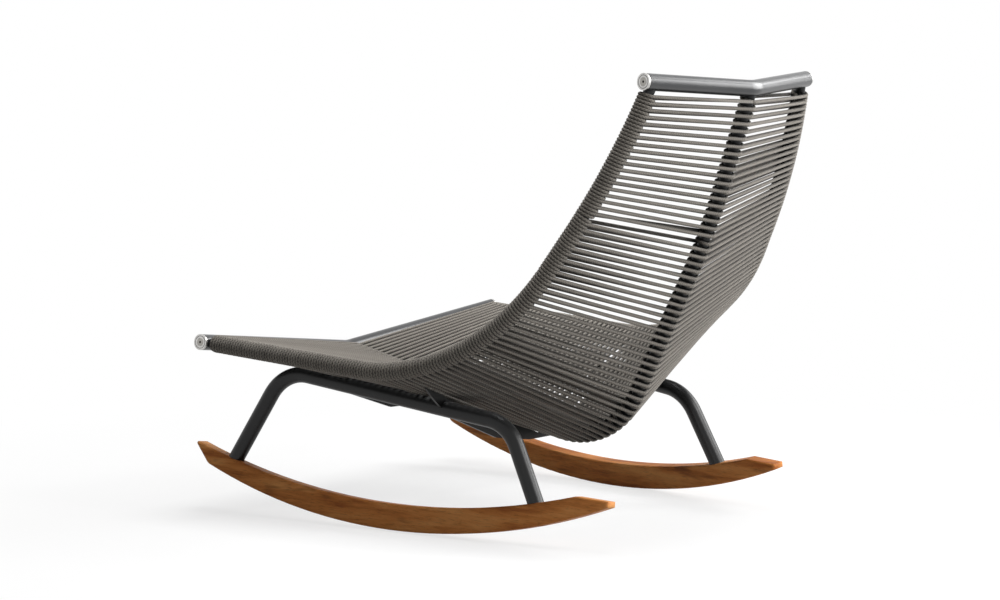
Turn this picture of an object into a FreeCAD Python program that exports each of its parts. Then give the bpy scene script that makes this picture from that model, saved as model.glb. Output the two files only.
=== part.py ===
# Outdoor rocking chair: a cord-strung seat shell on two bent tube leg frames with teak rockers.
# Millimetres. X runs across the chair with +X at the sitter's left, the sitter faces -Y, Z is up.
# The origin lies on the floor under the middle of the chair's box.
import FreeCAD, Part
import math
import os
import Sketcher
from FreeCAD import Placement, Rotation, Vector

doc = FreeCAD.newDocument("RockingChair")
sheet = doc.addObject("Spreadsheet::Sheet", "Sizes")

sizes = (
    # shell: two V-bent cross rails, carried by a keel and two side rails
    ("rail_diameter", 30), ("rail_wall", 2),
    ("slim_diameter", 20), ("slim_wall", 1.5),
    ("front_half_width", 444), ("front_y", -437.6), ("front_height", 332.5),
    ("front_vee_run", -23), ("front_vee_drop", 51), ("front_bend", 70),
    ("top_half_width", 264), ("top_y", 446.4), ("top_height", 825.5),
    ("top_vee_run", 50), ("top_vee_drop", 14), ("top_bend", 70),
    # side rail, in its own tilted plane: the hip corner from its front end, the back corner from its top end;
    # a bend's reach is the length it takes from the straight runs on each side of its corner
    ("side_toe", 2.88), ("side_inset", 19),
    ("side_hip_run", 612), ("side_hip_drop", 44.5), ("side_hip_reach", 250),
    ("side_back_run", 51.2), ("side_back_drop", 158.6), ("side_back_reach", 141),
    # keel, in the chair's middle plane, measured from the middles of the two cross rails
    ("keel_hip_run", 654.9), ("keel_hip_drop", 148.8), ("keel_hip_reach", 122),
    ("keel_back_run", 94.2), ("keel_back_drop", 271), ("keel_back_reach", 81),
    # leg plane: leans in over the floor point that the chair balances on, and holds one leg frame and rocker
    ("leg_offset", 337.5), ("leg_toe", 6.52), ("leg_lean", 7.99), ("rocker_y", -33.1),
    ("leg_diameter", 30), ("leg_wall", 3), ("leg_bend", 80),
    ("leg_front_run", -293.4), ("leg_front_drop", 57), ("leg_rear_run", 206.4), ("leg_rear_drop", 123.3),
    ("foot_front_run", -402.9), ("foot_rear_run", 284.1), ("foot_depth", 25),
    ("rocker_width", 30), ("rocker_radius", 1167), ("rocker_top_radius", 1410), ("rocker_height", 48.2),
    ("rocker_front", 484), ("rocker_rear", 425.8), ("rocker_slant", 36), ("rocker_bevel", 66.9),
    ("rocker_tip", 10.5), ("rocker_round", 3), ("rocker_nose", 3.5), ("rocker_chin", 20),
    # ribs under the strings, between the keel and the leg bars; the rear one has ears beyond the bars
    ("rib_thickness", 5), ("rib_depth", 40.7), ("rib_front_y", -213.6), ("rib_rear_y", 32.4), ("rib_gap", 5.3),
    ("rib_waist", 19.7), ("rib_flat", 44), ("rib_tongue", 12), ("rib_ear_reach", 57), ("rib_ear_depth", 11.3),
    # end caps with their screws and inserts
    ("cap_thickness", 4), ("cap_shadow", 1), ("cap_spigot", 8), ("cap_groove_diameter", 22),
    ("cap_groove_width", 1), ("cap_groove_depth", 0.8), ("screw_head_diameter", 15), ("screw_head", 2.5),
    ("screw_diameter", 6), ("screw_length", 26), ("screw_socket", 4.5), ("screw_socket_depth", 1.8),
    ("insert_length", 18), ("slip", 0.2),
    # bolts that hold the rockers to the leg feet
    ("bolt_diameter", 8), ("bolt_head_diameter", 14), ("bolt_head", 6), ("bolt_reach", 26),
    ("bolt_socket", 6), ("bolt_socket_depth", 3), ("bolt_recess_diameter", 18), ("bolt_grip", 22),
    ("washer_diameter", 17), ("washer_thickness", 1.6), ("foot_insert_length", 30),
    # cord, wound round each side rail and the keel
    ("cord_diameter", 5.1), ("cord_slack", 0.3), ("cord_margin", 6), ("cord_joint", 0.6), ("cord_hold", 30),
    ("cord_step", 3),
)
for row, (alias, number) in enumerate(sizes, start=1):
    sheet.set("A%d" % row, alias)
    sheet.set("B%d" % row, str(number))
    sheet.setAlias("B%d" % row, alias)
doc.recompute()

loop_counts = (17, 16, 7, 7, 6, 10, 10, 19)  # cord loops per length, from the front rail up to the top rail
sides = (("left", 1), ("right", -1))
pieces = []


def size(alias):
    return float(sheet.get(alias))


def origin_plane(body, role):
    return next(f for f in body.Origin.OriginFeatures if f.Role == role)


def new_sketch(body, name, role="XY_Plane"):
    sketch = body.newObject("Sketcher::SketchObject", name)
    sketch.AttachmentSupport = [(origin_plane(body, role), "")]
    sketch.MapMode = "FlatFace"
    return sketch


def dimension(sketch, constraint, name, link):
    index = sketch.addConstraint(constraint)
    sketch.renameConstraint(index, name)
    if isinstance(link, str):
        sketch.setExpression("Constraints." + name, link)


def value_of(link):
    if isinstance(link, str):
        return float(sheet.evalExpression(link))
    return link


def pin(sketch, name, geometry, place, across, up):
    # hold one point of the sketch at two distances from its origin, each a number or a sheet link
    for kind, axis, link in (("DistanceX", -2, across), ("DistanceY", -1, up)):
        if value_of(link) == 0:
            sketch.addConstraint(Sketcher.Constraint("PointOnObject", geometry, place, axis))
        else:
            rule = Sketcher.Constraint(kind, -1, 1, geometry, place, value_of(link))
            dimension(sketch, rule, name + kind[-1], link)


def bend_points(before, corner, after, bend):
    # the bend's alias tells whether its size is a radius or a reach
    one = (before - corner).normalize()
    two = (after - corner).normalize()
    half = one.getAngle(two) / 2
    reach = value_of(bend)
    if not bend.endswith("_reach"):
        reach /= math.tan(half)
    radius = reach * math.tan(half)
    centre = corner + (one + two).normalize() * (radius / math.sin(half))
    return corner + one * reach, corner + two * reach, centre, radius


def path_sketch(body, corners, bends):
    # straight runs between the corners, each inner corner rounded by a tangent arc
    sketch = new_sketch(body, body.Name + "Path")
    spots = [Vector(value_of(across), value_of(up)) for across, up in corners]
    runs, arcs = [], []
    start = spots[0]
    for index, bend in enumerate(bends):
        before, corner, after = spots[index:index + 3]
        entry, leave, centre, radius = bend_points(before, corner, after, bend)
        runs.append(sketch.addGeometry(Part.LineSegment(start, entry), False))
        left_turn = (corner - before).cross(after - corner).z > 0
        first, last = (entry, leave) if left_turn else (leave, entry)
        from_angle = math.atan2(first.y - centre.y, first.x - centre.x)
        to_angle = math.atan2(last.y - centre.y, last.x - centre.x)
        circle = Part.Circle(centre, Vector(0, 0, 1), radius)
        arc = sketch.addGeometry(Part.ArcOfCircle(circle, from_angle, to_angle), False)
        arcs.append((arc, (1, 2) if left_turn else (2, 1)))
        start = leave
    runs.append(sketch.addGeometry(Part.LineSegment(start, spots[-1]), False))
    pin(sketch, "start", runs[0], 1, *corners[0])
    pin(sketch, "finish", runs[-1], 2, *corners[-1])
    for index, (arc, (near_end, far_end)) in enumerate(arcs):
        mark = sketch.addGeometry(Part.Point(spots[index + 1]), True)
        pin(sketch, "corner%d" % index, mark, 1, *corners[index + 1])
        sketch.addConstraint(Sketcher.Constraint("Tangent", runs[index], 2, arc, near_end))
        sketch.addConstraint(Sketcher.Constraint("Tangent", arc, far_end, runs[index + 1], 1))
        sketch.addConstraint(Sketcher.Constraint("PointOnObject", mark, 1, runs[index]))
        sketch.addConstraint(Sketcher.Constraint("PointOnObject", mark, 1, runs[index + 1]))
        number = value_of(bends[index])
        rule = Sketcher.Constraint("Radius", arc, number)
        if bends[index].endswith("_reach"):
            rule = Sketcher.Constraint("Distance", mark, 1, arc, near_end, number)
        dimension(sketch, rule, "bend%d" % index, bends[index])
    doc.recompute()
    return sketch


def bent_tube(name, placement, corners, bends, diameter, wall=None):
    # a tube bent flat in the XY plane of its placement; with no wall it is a solid bar
    body = doc.addObject("PartDesign::Body", name)
    path = path_sketch(body, corners, bends)
    section = body.newObject("Sketcher::SketchObject", name + "Section")
    section.AttachmentSupport = [(path, "Edge1")]
    section.MapMode = "NormalToEdge"
    rings = [("outer", "Sizes." + diameter)]
    if wall:
        rings.append(("bore", "Sizes.%s - 2 * Sizes.%s" % (diameter, wall)))
    for ring, link in rings:
        circle = Part.Circle(Vector(0, 0), Vector(0, 0, 1), value_of(link) / 2)
        index = section.addGeometry(circle, False)
        section.addConstraint(Sketcher.Constraint("Coincident", index, 3, -1, 1))
        dimension(section, Sketcher.Constraint("Diameter", index, value_of(link)), ring, link)
    doc.recompute()
    pipe = body.newObject("PartDesign::AdditivePipe", name + "Pipe")
    pipe.Profile = section
    pipe.Spine = (path, ["Edge%d" % (n + 1) for n in range(2 * len(bends) + 1)])
    body.Placement = placement
    doc.recompute()
    return body, path


def wire_of(body, path):
    # the path's wire in the chair's frame, from its first corner on
    wire = Part.Wire(Part.sortEdges(path.Shape.Edges)[0])
    wire.transformShape(body.Placement.toMatrix())
    return wire


def polygon_sketch(body, name, points, role="XY_Plane"):
    sketch = new_sketch(body, name, role)
    spots = [Vector(value_of(across), value_of(up)) for across, up in points]
    lines = []
    for index, spot in enumerate(spots):
        lines.append(sketch.addGeometry(Part.LineSegment(spot, spots[(index + 1) % len(spots)]), False))
    for index, line in enumerate(lines):
        following = lines[(index + 1) % len(lines)]
        sketch.addConstraint(Sketcher.Constraint("Coincident", line, 2, following, 1))
        pin(sketch, "point%d" % index, line, 1, *points[index])
    doc.recompute()
    return sketch


def turned(name, points, placement):
    # a profile of (radius, length) points turned about the placement's Z axis
    body = doc.addObject("PartDesign::Body", name)
    sketch = polygon_sketch(body, name + "Profile", points, "XZ_Plane")
    spin = body.newObject("PartDesign::Revolution", name + "Turn")
    spin.Profile = sketch
    spin.ReferenceAxis = (sketch, ["V_Axis"])
    spin.Angle = 360
    body.Placement = placement
    doc.recompute()
    return body


def keep(feature, label):
    feature.Label = label
    pieces.append(feature)
    return feature


def cut(name, base, tools):
    tool = tools[0]
    if len(tools) > 1:
        tool = doc.addObject("Part::Compound", name + "Tools")
        tool.Links = tools
    result = doc.addObject("Part::Cut", name)
    result.Base = base
    result.Tool = tool
    doc.recompute()
    return result


def group(name, members):
    result = doc.addObject("Part::Compound", name)
    result.Links = members
    doc.recompute()
    return keep(result, name)


def along(point, direction):
    # a placement at a point whose Z axis is the given direction
    return Placement(point, Rotation(Vector(0, 0, 1), direction))


# Cross rails: each lies flat in a plane through the X axis, its middle set back along the vee
def cross_rail(name, prefix):
    run, drop = size(prefix + "_vee_run"), size(prefix + "_vee_drop")
    across, deep = Vector(1, 0, 0), Vector(0, run, -drop).normalize()
    centre = Vector(0, size(prefix + "_y"), size(prefix + "_height"))
    placement = Placement(centre, Rotation(across, deep, across.cross(deep)))
    half = "Sizes.%s_half_width" % prefix
    depth = "sqrt(Sizes.{0}_vee_run ^ 2 + Sizes.{0}_vee_drop ^ 2)".format(prefix)
    corners = [("-" + half, 0), (0, depth), (half, 0)]
    bend = ["Sizes.%s_bend" % prefix]
    keep(bent_tube(name, placement, corners, bend, "rail_diameter", "rail_wall")[0], name)
    solid = bent_tube(name + "_envelope", placement, corners, bend, "rail_diameter")[0]
    end = Vector(size(prefix + "_half_width"), centre.y, centre.z)
    apex = centre + Vector(0, run, -drop)
    return solid, end, apex


front_solid, front_end, front_apex = cross_rail("front_rail", "front")
top_solid, top_end, top_apex = cross_rail("top_rail", "top")


# End caps: a disc with a shadow gap to the tube, held by a flat screw in an insert inside the bore
bore = "(Sizes.rail_diameter / 2 - Sizes.rail_wall)"
face = "(Sizes.cap_shadow + Sizes.cap_thickness)"
head = "Sizes.screw_head_diameter / 2"
groove = "Sizes.cap_groove_diameter / 2"
clear = "Sizes.screw_diameter / 2 + Sizes.slip"
seat = face + " - Sizes.screw_head"
cap_profile = [
    (clear, "-Sizes.cap_spigot"), (bore + " - Sizes.slip", "-Sizes.cap_spigot"), (bore + " - Sizes.slip", 0),
    ("Sizes.rail_diameter / 2 - 1.5 * Sizes.cap_shadow", 0),
    ("Sizes.rail_diameter / 2 - 1.5 * Sizes.cap_shadow", "Sizes.cap_shadow"),
    ("Sizes.rail_diameter / 2", "Sizes.cap_shadow"), ("Sizes.rail_diameter / 2", face),
    (groove + " + Sizes.cap_groove_width", face),
    (groove + " + Sizes.cap_groove_width", face + " - Sizes.cap_groove_depth"),
    (groove, face + " - Sizes.cap_groove_depth"), (groove, face),
    (head + " + Sizes.slip", face), (head + " + Sizes.slip", seat), (clear, seat),
]
screw_profile = [
    (0, seat + " + Sizes.screw_head - Sizes.screw_length"),
    ("Sizes.screw_diameter / 2", seat + " + Sizes.screw_head - Sizes.screw_length"),
    ("Sizes.screw_diameter / 2", seat), (head, seat), (head, face), ("Sizes.screw_socket / 2", face),
    ("Sizes.screw_socket / 2", face + " - Sizes.screw_socket_depth"),
    (0, face + " - Sizes.screw_socket_depth"),
]
insert_profile = [
    ("Sizes.screw_diameter / 2", "-Sizes.cap_spigot - Sizes.insert_length"),
    (bore, "-Sizes.cap_spigot - Sizes.insert_length"), (bore, "-Sizes.cap_spigot"),
    ("Sizes.screw_diameter / 2", "-Sizes.cap_spigot"),
]
screws, inserts = [], []
for rail, end, apex in (("front", front_end, front_apex), ("top", top_end, top_apex)):
    for side, sign in sides:
        mirrored_end = Vector(sign * end.x, end.y, end.z)
        placement = along(mirrored_end, mirrored_end - apex)
        keep(turned("%s_cap_%s" % (rail, side), cap_profile, placement), "%s_cap_%s" % (rail, side))
        screws.append(turned("%s_screw_%s" % (rail, side), screw_profile, placement))
        inserts.append(turned("%s_insert_%s" % (rail, side), insert_profile, placement))
group("cap_screws", screws)
group("cap_inserts", inserts)


# Side rails and keel: slim tubes, their ends fitted to the round of the cross rails
def toed_in(sign, alias):
    # the level direction along one side of the chair, turned in towards the back
    toe = math.radians(size(alias))
    return Vector(-sign * math.sin(toe), math.cos(toe), 0)


def on_cross_rail(sign, end, apex):
    spot = end + (apex - end).normalize() * size("side_inset")
    return Vector(sign * spot.x, spot.y, spot.z)


rail_wires = {}
for side, sign in sides:
    start = on_cross_rail(sign, front_end, front_apex)
    span = on_cross_rail(sign, top_end, top_apex) - start
    run = toed_in(sign, "side_toe")
    normal = run.cross(span).normalize()
    rise = normal.cross(run)
    length, height = span.dot(run), span.dot(rise)
    corners = [(0, 0), ("Sizes.side_hip_run", "-Sizes.side_hip_drop"),
               ("%.6f - Sizes.side_back_run" % length, "%.6f - Sizes.side_back_drop" % height),
               (length, height)]
    bends = ["Sizes.side_hip_reach", "Sizes.side_back_reach"]
    placement = Placement(start, Rotation(run, rise, normal))
    raw, path = bent_tube("side_raw_" + side, placement, corners, bends, "slim_diameter", "slim_wall")
    rail_wires[side] = wire_of(raw, path)
    keep(cut("side_rail_" + side, raw, [front_solid, top_solid]), "side_rail_" + side)

keel_placement = Placement(Vector(0, 0, 0), Rotation(Vector(0, 1, 0), Vector(0, 0, 1), Vector(1, 0, 0)))
front_middle = ("Sizes.front_y + Sizes.front_vee_run", "Sizes.front_height - Sizes.front_vee_drop")
top_middle = ("Sizes.top_y + Sizes.top_vee_run", "Sizes.top_height - Sizes.top_vee_drop")
keel_corners = [front_middle,
                (front_middle[0] + " + Sizes.keel_hip_run", front_middle[1] + " - Sizes.keel_hip_drop"),
                (top_middle[0] + " - Sizes.keel_back_run", top_middle[1] + " - Sizes.keel_back_drop"),
                top_middle]
keel_bends = ["Sizes.keel_hip_reach", "Sizes.keel_back_reach"]
raw_keel, keel_path = bent_tube("keel_raw", keel_placement, keel_corners, keel_bends,
                                "slim_diameter", "slim_wall")
keel_solid = bent_tube("keel_envelope", keel_placement, keel_corners, keel_bends, "slim_diameter")[0]
keel_wire = wire_of(raw_keel, keel_path)
keep(cut("keel_tube", raw_keel, [front_solid, top_solid]), "keel_tube")


# Leg planes: each leans in from the floor and holds a rocker with the leg frame that stands on it
def leg_placement(sign):
    run, up = toed_in(sign, "leg_toe"), Vector(0, 0, 1)
    lean = math.radians(size("leg_lean"))
    rise = up * math.cos(lean) + up.cross(run) * (sign * math.sin(lean))
    # the leaning board stands on its rounded inner edge
    rim = size("rocker_round")
    lift = (size("rocker_width") / 2 - rim) * math.sin(lean) + rim * (1 - math.cos(lean))
    base = Vector(sign * size("leg_offset"), size("rocker_y"), lift)
    return Placement(base, Rotation(run, rise, run.cross(rise)))


# Rockers: a curved board, bevelled at the back, drilled along the legs that stand on it
def rocker_pad(name, placement, width):
    body = doc.addObject("PartDesign::Body", name)
    sketch = new_sketch(body, name + "Outline")
    low, high = size("rocker_radius"), size("rocker_top_radius")
    front, rear = size("rocker_front"), size("rocker_rear")
    foot, bevel = front - size("rocker_slant"), rear - size("rocker_bevel")
    low_centre, high_centre = Vector(0, low), Vector(0, size("rocker_height") + high)

    def on_arc(centre, radius, across):
        return Vector(across, centre.y - math.sqrt(radius ** 2 - across ** 2))

    def arc(centre, radius, first, last):
        angles = [math.atan2(p.y - centre.y, p.x - centre.x) for p in (first, last)]
        return Part.ArcOfCircle(Part.Circle(centre, Vector(0, 0, 1), radius), *angles)

    heel = on_arc(low_centre, low, rear)
    tip = heel + Vector(0, size("rocker_tip"))
    crest = on_arc(high_centre, high, bevel)
    nose = on_arc(high_centre, high, -front)
    chin = on_arc(low_centre, low, -foot)
    under = sketch.addGeometry(arc(low_centre, low, chin, heel), False)
    back = sketch.addGeometry(Part.LineSegment(heel, tip), False)
    slope = sketch.addGeometry(Part.LineSegment(tip, crest), False)
    over = sketch.addGeometry(arc(high_centre, high, nose, crest), False)
    fore = sketch.addGeometry(Part.LineSegment(nose, chin), False)
    for one, one_end, two, two_end in ((under, 2, back, 1), (back, 2, slope, 1), (slope, 2, over, 2),
                                       (over, 1, fore, 1), (fore, 2, under, 1)):
        sketch.addConstraint(Sketcher.Constraint("Coincident", one, one_end, two, two_end))
    pin(sketch, "lowCentre", under, 3, 0, "Sizes.rocker_radius")
    pin(sketch, "highCentre", over, 3, 0, "Sizes.rocker_height + Sizes.rocker_top_radius")
    dimension(sketch, Sketcher.Constraint("Radius", under, low), "low", "Sizes.rocker_radius")
    dimension(sketch, Sketcher.Constraint("Radius", over, high), "high", "Sizes.rocker_top_radius")
    sketch.addConstraint(Sketcher.Constraint("Vertical", back))
    rule = Sketcher.Constraint("DistanceX", -1, 1, under, 2, rear)
    dimension(sketch, rule, "rear", "Sizes.rocker_rear")
    rule = Sketcher.Constraint("DistanceY", back, 1, back, 2, size("rocker_tip"))
    dimension(sketch, rule, "tip", "Sizes.rocker_tip")
    rule = Sketcher.Constraint("DistanceX", -1, 1, over, 2, bevel)
    dimension(sketch, rule, "bevel", "Sizes.rocker_rear - Sizes.rocker_bevel")
    rule = Sketcher.Constraint("DistanceX", over, 1, -1, 1, front)
    dimension(sketch, rule, "front", "Sizes.rocker_front")
    rule = Sketcher.Constraint("DistanceX", under, 1, -1, 1, foot)
    dimension(sketch, rule, "foot", "Sizes.rocker_front - Sizes.rocker_slant")
    doc.recompute()
    pad = body.newObject("PartDesign::Pad", name + "Pad")
    pad.Profile = sketch
    pad.Midplane = True
    pad.setExpression("Length", width)
    body.Placement = placement
    doc.recompute()
    return body, pad


def front_edges(shape):
    # the edges across the board at its front end, from the lowest to the highest
    found = []
    for index, edge in enumerate(shape.Edges, start=1):
        one, two = [vertex.Point for vertex in (edge.Vertexes[0], edge.Vertexes[-1])]
        if abs(one.z - two.z) > size("rocker_width") / 2 and one.x < 0:
            found.append((one.y, "Edge%d" % index))
    return [name for height, name in sorted(found)]


def rocker_board(name, placement):
    body, last = rocker_pad(name, placement, "Sizes.rocker_width")
    for alias, place in (("rocker_chin", 0), ("rocker_nose", -1)):
        rounded = body.newObject("PartDesign::Fillet", name + alias)
        rounded.Base = (last, [front_edges(last.Shape)[place]])
        rounded.setExpression("Radius", "Sizes." + alias)
        doc.recompute()
        last = rounded
    rim = []
    for index, edge in enumerate(last.Shape.Edges, start=1):
        levels = [vertex.Point.z for vertex in edge.Vertexes]
        on_face = all(abs(abs(level) - size("rocker_width") / 2) < 1e-6 for level in levels)
        if on_face and abs(levels[0] - levels[-1]) < 1e-6:
            rim.append("Edge%d" % index)
    eased = body.newObject("PartDesign::Fillet", name + "Rim")
    eased.Base = (last, rim)
    eased.setExpression("Radius", "Sizes.rocker_round")
    doc.recompute()
    return body


# Leg frames: one tube per side, bent into two legs and a bar, its feet cut to the rocker's upper arc
def cylinder(name, radius, height, placement):
    solid = doc.addObject("Part::Cylinder", name)
    solid.setExpression("Radius", radius)
    solid.setExpression("Height", height)
    solid.Placement = placement
    return solid


def knee_place(end):
    return ("Sizes.leg_%s_run" % end, "(Sizes.front_height - Sizes.leg_%s_drop) / cos(Sizes.leg_lean)" % end)


def foot_place(end):
    run = "Sizes.foot_%s_run" % end
    drop = "sqrt(Sizes.rocker_top_radius ^ 2 - %s ^ 2)" % run
    return (run, "Sizes.rocker_height + Sizes.rocker_top_radius - %s - Sizes.foot_depth" % drop)


def seat_on_rocker(knee, axis):
    # where a leg's axis meets the rocker's upper arc, in the leg plane
    away = knee - Vector(0, size("rocker_height") + size("rocker_top_radius"))
    slide = away.dot(axis)
    return knee + axis * (math.sqrt(slide ** 2 - away.dot(away) + size("rocker_top_radius") ** 2) - slide)


bolt_end = "-Sizes.washer_thickness - Sizes.bolt_grip - Sizes.bolt_reach"
bolt_profile = [
    (0, "Sizes.bolt_head - Sizes.bolt_socket_depth"),
    ("Sizes.bolt_socket / 2", "Sizes.bolt_head - Sizes.bolt_socket_depth"),
    ("Sizes.bolt_socket / 2", "Sizes.bolt_head"), ("Sizes.bolt_head_diameter / 2", "Sizes.bolt_head"),
    ("Sizes.bolt_head_diameter / 2", 0), ("Sizes.bolt_diameter / 2", 0),
    ("Sizes.bolt_diameter / 2", bolt_end), (0, bolt_end),
]
washer_profile = [
    ("Sizes.bolt_diameter / 2 + Sizes.slip", "-Sizes.washer_thickness"),
    ("Sizes.washer_diameter / 2", "-Sizes.washer_thickness"), ("Sizes.washer_diameter / 2", 0),
    ("Sizes.bolt_diameter / 2 + Sizes.slip", 0),
]
bolts, washers, foot_inserts = [], [], []
leg_solids, bar_wires = {}, {}
for side, sign in sides:
    placement = leg_placement(sign)
    board = rocker_board("rocker_board_" + side, placement)
    saddle = rocker_pad("rocker_saddle_" + side, placement, "Sizes.rocker_width + Sizes.leg_diameter")[0]
    corners = [foot_place("front"), knee_place("front"), knee_place("rear"), foot_place("rear")]
    bends = ["Sizes.leg_bend", "Sizes.leg_bend"]
    raw, path = bent_tube("leg_raw_" + side, placement, corners, bends, "leg_diameter", "leg_wall")
    leg_solids[side] = bent_tube("leg_envelope_" + side, placement, corners, bends, "leg_diameter")[0]
    bar_wires[side] = wire_of(raw, path)
    keep(cut("leg_frame_" + side, raw, [saddle]), "leg_frame_" + side)
    drills = []
    for end in ("front", "rear"):
        knee = Vector(*[value_of(link) for link in knee_place(end)])
        sole = Vector(*[value_of(link) for link in foot_place(end)])
        seat_spot = placement.multVec(seat_on_rocker(knee, (sole - knee).normalize()))
        axis = placement.Rotation.multVec((sole - knee).normalize())
        shoulder = seat_spot + axis * size("bolt_grip")
        hole_start = seat_spot - axis * size("foot_insert_length")
        tag = "%s_%s" % (end, side)
        under_washer = along(shoulder + axis * size("washer_thickness"), axis)
        bolts.append(turned("bolt_" + tag, bolt_profile, under_washer))
        washers.append(turned("washer_" + tag, washer_profile, under_washer))
        drills.append(cylinder("drill_" + tag, "Sizes.bolt_diameter / 2 + Sizes.slip",
                               "Sizes.foot_insert_length + Sizes.bolt_grip + Sizes.bolt_head",
                               along(hole_start, axis)))
        drills.append(cylinder("recess_" + tag, "Sizes.bolt_recess_diameter / 2", "Sizes.rocker_height",
                               along(shoulder, axis)))
        plug = cylinder("plug_" + tag, "Sizes.leg_diameter / 2 - Sizes.leg_wall",
                        "Sizes.foot_insert_length + Sizes.foot_depth", along(hole_start, axis))
        thread = cylinder("thread_" + tag, "Sizes.bolt_diameter / 2",
                          "Sizes.foot_insert_length + 2 * Sizes.foot_depth", along(hole_start, axis))
        foot_inserts.append(cut("foot_insert_" + tag, plug, [saddle, thread]))
    keep(cut("rocker_" + side, board, drills), "rocker_" + side)
group("rocker_bolts", bolts)
group("bolt_washers", washers)
group("foot_inserts", foot_inserts)


# Places along the bent tubes
def at_length(wire, length):
    # the point and direction on a wire at a length from its start
    left = length
    for edge in wire.OrderedEdges:
        if left <= edge.Length + 1e-9:
            if edge.Orientation == "Reversed":
                spot = edge.getParameterByLength(max(edge.Length - left, 0))
                return edge.valueAt(spot), edge.tangentAt(spot) * -1
            spot = edge.getParameterByLength(min(left, edge.Length))
            return edge.valueAt(spot), edge.tangentAt(spot)
        left -= edge.Length
    raise ValueError("length beyond the end of the wire")


def length_at_y(wire, y):
    low, high = 0.0, wire.Length
    while high - low > 1e-6:
        middle = (low + high) / 2
        if at_length(wire, middle)[0].y < y:
            low = middle
        else:
            high = middle
    return low


def point_at_y(wire, y):
    return at_length(wire, length_at_y(wire, y))[0]


cord = size("cord_diameter")
hug = size("slim_diameter") / 2 + size("cord_slack") + cord / 2
loops = sum(loop_counts)


# Ribs: flat plates across the chair, seated on the leg bars, their tongues between the cord turns on the keel
def rib(label, y, eared):
    keel_spot = point_at_y(keel_wire, y)
    rail_spot = point_at_y(rail_wires["left"], y)
    bar_spot = point_at_y(bar_wires["left"], y)
    slope = (rail_spot.z - keel_spot.z) / rail_spot.x
    below = (hug + cord / 2 + size("rib_gap")) * math.sqrt(1 + slope ** 2)
    tongue, flat, halfway = size("rib_tongue"), size("rib_flat"), bar_spot.x / 2

    def under_strings(x):
        return keel_spot.z + slope * x - below

    half = [(tongue, keel_spot.z), (tongue, under_strings(tongue))]
    radius = size("leg_diameter") / 2
    if eared:
        outer = bar_spot.x + size("rib_ear_reach")
        bow = bar_spot.x + size("rib_ear_reach") * 0.72
        half += [(outer, under_strings(outer)), (bow, under_strings(bow) - size("rib_ear_depth")),
                 (bar_spot.x + radius, bar_spot.z + radius / 4)]
    else:
        half += [(bar_spot.x - radius / 2, under_strings(bar_spot.x - radius / 2))]
    half += [(bar_spot.x, bar_spot.z), (bar_spot.x - radius / 2, bar_spot.z - radius),
             (halfway, under_strings(halfway) - size("rib_depth")),
             (flat, under_strings(flat) - size("rib_waist"))]
    body = doc.addObject("PartDesign::Body", label + "_plate")
    outline = half + [(-x, z) for x, z in reversed(half)]
    sketch = polygon_sketch(body, label + "Outline", outline, "XZ_Plane")
    pad = body.newObject("PartDesign::Pad", label + "Pad")
    pad.Profile = sketch
    pad.Midplane = True
    pad.setExpression("Length", "Sizes.rib_thickness")
    body.Placement = Placement(Vector(0, y, 0), Rotation())
    doc.recompute()
    keep(cut(label, body, [keel_solid, leg_solids["left"], leg_solids["right"]]), label)


rib("rib_front", size("rib_front_y"), False)
rib("rib_rear", size("rib_rear_y"), True)


# Cord: the middle line of each length is straight spans joined by half turns round the tubes
def half_turn(start, start_way, finish, finish_way):
    # two tangent arcs from one point and direction to another
    step = finish - start
    ways = start_way + finish_way
    spread = 2 * (1 - start_way.dot(finish_way))
    lead = (math.sqrt(step.dot(ways) ** 2 + spread * step.dot(step)) - step.dot(ways)) / spread
    joint = (start + start_way * lead + finish - finish_way * lead) / 2
    return [arc_from(start, start_way, joint), arc_from(finish, finish_way * -1, joint, True)]


def arc_from(one, way, two, backwards=False):
    # the arc that leaves the first point in the given direction and ends at the second
    chord = two - one
    turn = way.getAngle(chord)
    bulge = (way - chord * (way.dot(chord) / chord.dot(chord))).normalize()
    middle = one + chord / 2 + bulge * (chord.Length / 2 * math.tan(turn / 2))
    if backwards:
        return Part.Arc(two, middle, one).toShape()
    return Part.Arc(one, middle, two).toShape()


def line(one, two):
    return Part.LineSegment(one, two).toShape()


def rail_places(wire):
    # where each loop's first turn lies on the side rail, and the step from turn to turn
    ends = size("rail_diameter") / 2 + size("cord_margin")
    step = (wire.Length - 2 * ends) / (2 * loops)
    return [ends + step * 2 * n for n in range(loops)], step


def keel_places():
    # the loops part at the ribs; the left half takes the even places and the right half the odd ones
    ends = size("rail_diameter") / 2 + size("cord_margin")
    room = (size("rib_thickness") + cord) / 2 + size("rib_gap")
    front, rear = [length_at_y(keel_wire, size(alias)) for alias in ("rib_front_y", "rib_rear_y")]
    stretches = ((ends, front - room, loop_counts[0]), (front + room, rear - room, loop_counts[1]),
                 (rear + room, keel_wire.Length - ends, sum(loop_counts[2:])))
    places = []
    for first, last, count in stretches:
        step = (last - first) / (2 * count - 1)
        places.extend((first + step * 2 * n, first + step * (2 * n + 1)) for n in range(count))
    return places


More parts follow.
